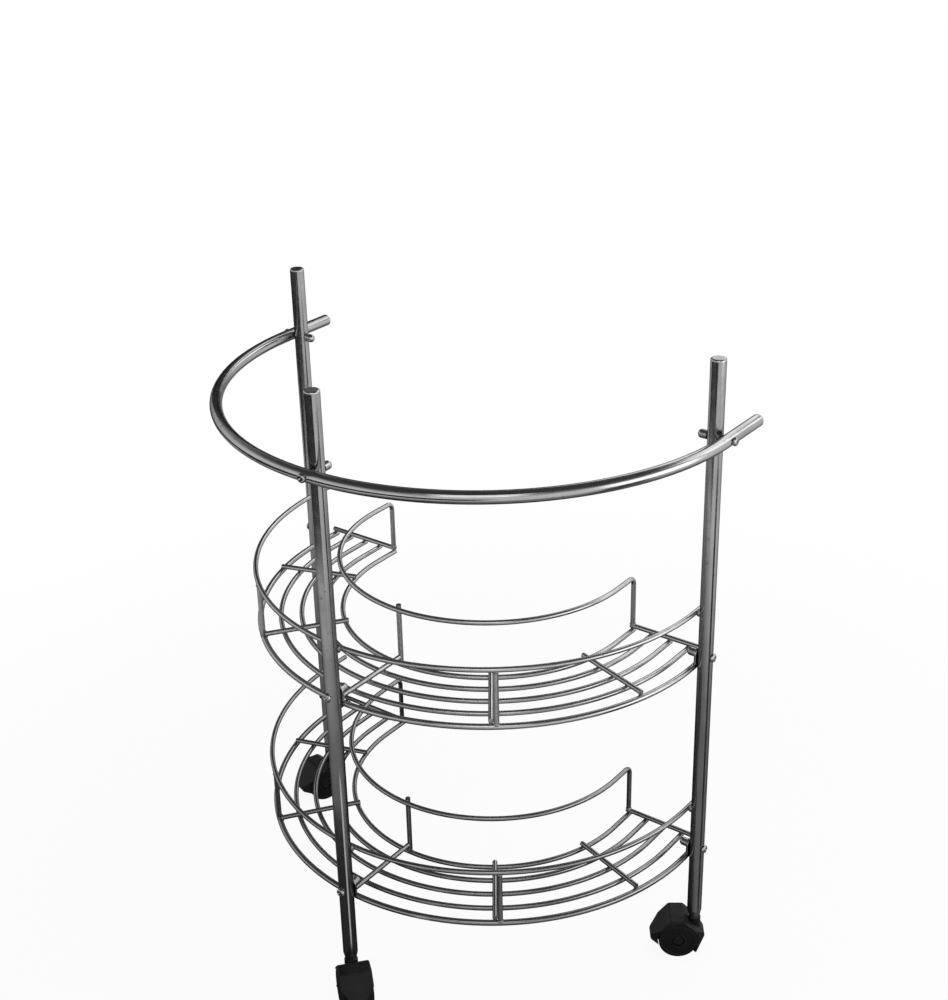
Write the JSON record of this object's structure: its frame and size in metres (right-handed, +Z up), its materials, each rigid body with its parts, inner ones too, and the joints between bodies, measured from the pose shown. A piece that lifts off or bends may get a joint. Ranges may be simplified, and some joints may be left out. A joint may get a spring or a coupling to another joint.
{
  "type": "under sink organizer",
  "caption": "Half-round chromed wire trolley that stands round a basin's drain pipe, with guarded wire shelves, a wrap-round towel rail and tube legs on hooded swivel casters.",
  "frame": {"origin": "on the floor, at the axis of the rings and rail, where the drain pipe comes down", "axes": "+Z up, -Y towards the front leg, +Y out of the open back, +X to the right when seen from the front"},
  "size_m": [0.5193, 0.3291, 0.62],
  "materials": {
    "chromed_tube": "polished chrome plate on steel tube",
    "chromed_wire": "polished chrome plate on welded steel wire",
    "chromed_fastener": "bright plated pan-head screws and dome nuts",
    "leg_plug": "metallised moulded plug, rounded and glossy",
    "rail_plug": "metallised moulded plug, rounded and glossy",
    "socket_bush": "turned and plated steel bush with a tapered collar",
    "stem_steel": "turned zinc-plated steel",
    "caster_hood": "black moulded nylon, fine grain",
    "axle_cap": "black moulded cap",
    "caster_wheel": "black moulded nylon, worn smooth on the tread"
  },
  "bodies": {
    "frame": {"leg_front": "chromed_tube", "leg_left": "chromed_tube", "leg_right": "chromed_tube", "leg_top_plugs": "leg_plug", "caster_sockets": "socket_bush", "towel_rail": "chromed_tube", "towel_rail_plugs": "rail_plug", "towel_rail_screws": "chromed_fastener", "towel_rail_nuts": "chromed_fastener", "lower_shelf_base_ring": "chromed_wire", "lower_shelf_floor_ring_1": "chromed_wire", "lower_shelf_floor_ring_2": "chromed_wire", "lower_shelf_floor_ring_3": "chromed_wire", "lower_shelf_floor_ring_4": "chromed_wire", "lower_shelf_guard_ring": "chromed_wire", "lower_shelf_inner_guard": "chromed_wire", "lower_shelf_ribs": "chromed_wire", "lower_shelf_end_bars": "chromed_wire", "lower_shelf_outer_posts": "chromed_wire", "lower_shelf_inner_post": "chromed_wire", "lower_shelf_lugs": "chromed_wire", "lower_shelf_screws": "chromed_fastener", "lower_shelf_nuts": "chromed_fastener", "upper_shelf_base_ring": "chromed_wire", "upper_shelf_floor_ring_1": "chromed_wire", "upper_shelf_floor_ring_2": "chromed_wire", "upper_shelf_floor_ring_3": "chromed_wire", "upper_shelf_floor_ring_4": "chromed_wire", "upper_shelf_guard_ring": "chromed_wire", "upper_shelf_inner_guard": "chromed_wire", "upper_shelf_ribs": "chromed_wire", "upper_shelf_end_bars": "chromed_wire", "upper_shelf_outer_posts": "chromed_wire", "upper_shelf_inner_post": "chromed_wire", "upper_shelf_lugs": "chromed_wire", "upper_shelf_screws": "chromed_fastener", "upper_shelf_nuts": "chromed_fastener"},
    "front_swivel": {"front_caster_stem": "stem_steel", "front_caster_hood": "caster_hood", "front_caster_axle": "stem_steel", "front_caster_axle_caps": "axle_cap"},
    "front_wheel_left": {"front_caster_wheel_left": "caster_wheel"},
    "front_wheel_right": {"front_caster_wheel_right": "caster_wheel"},
    "left_swivel": {"left_caster_stem": "stem_steel", "left_caster_hood": "caster_hood", "left_caster_axle": "stem_steel", "left_caster_axle_caps": "axle_cap"},
    "left_wheel_left": {"left_caster_wheel_left": "caster_wheel"},
    "left_wheel_right": {"left_caster_wheel_right": "caster_wheel"},
    "right_swivel": {"right_caster_stem": "stem_steel", "right_caster_hood": "caster_hood", "right_caster_axle": "stem_steel", "right_caster_axle_caps": "axle_cap"},
    "right_wheel_left": {"right_caster_wheel_left": "caster_wheel"},
    "right_wheel_right": {"right_caster_wheel_right": "caster_wheel"}
  },
  "joints": [
    {"name": "front_caster_swivel", "type": "hinge", "parent": "frame", "child": "front_swivel", "pos_m": [0, -0.2359, 0.05], "axis": [0, 0, 1], "continuous": true},
    {"name": "front_caster_roll_left", "type": "hinge", "parent": "front_swivel", "child": "front_wheel_left", "pos_m": [0.01226, -0.24618, 0.019], "axis": [-0.6428, -0.766, 0], "continuous": true},
    {"name": "front_caster_roll_right", "type": "hinge", "parent": "front_swivel", "child": "front_wheel_right", "pos_m": [0.01226, -0.24618, 0.019], "axis": [-0.6428, -0.766, 0], "continuous": true},
    {"name": "left_caster_swivel", "type": "hinge", "parent": "frame", "child": "left_swivel", "pos_m": [-0.2359, 0.006, 0.05], "axis": [0, 0, 1], "continuous": true},
    {"name": "left_caster_roll_left", "type": "hinge", "parent": "left_swivel", "child": "left_wheel_left", "pos_m": [-0.24137, -0.00903, 0.019], "axis": [-0.9397, 0.342, 0], "continuous": true},
    {"name": "left_caster_roll_right", "type": "hinge", "parent": "left_swivel", "child": "left_wheel_right", "pos_m": [-0.24137, -0.00903, 0.019], "axis": [-0.9397, 0.342, 0], "continuous": true},
    {"name": "right_caster_swivel", "type": "hinge", "parent": "frame", "child": "right_swivel", "pos_m": [0.2359, 0.006, 0.05], "axis": [0, 0, 1], "continuous": true},
    {"name": "right_caster_roll_left", "type": "hinge", "parent": "right_swivel", "child": "right_wheel_left", "pos_m": [0.22279, -0.00318, 0.019], "axis": [-0.5736, 0.8192, 0], "continuous": true},
    {"name": "right_caster_roll_right", "type": "hinge", "parent": "right_swivel", "child": "right_wheel_right", "pos_m": [0.22279, -0.00318, 0.019], "axis": [-0.5736, 0.8192, 0], "continuous": true}
  ]
}
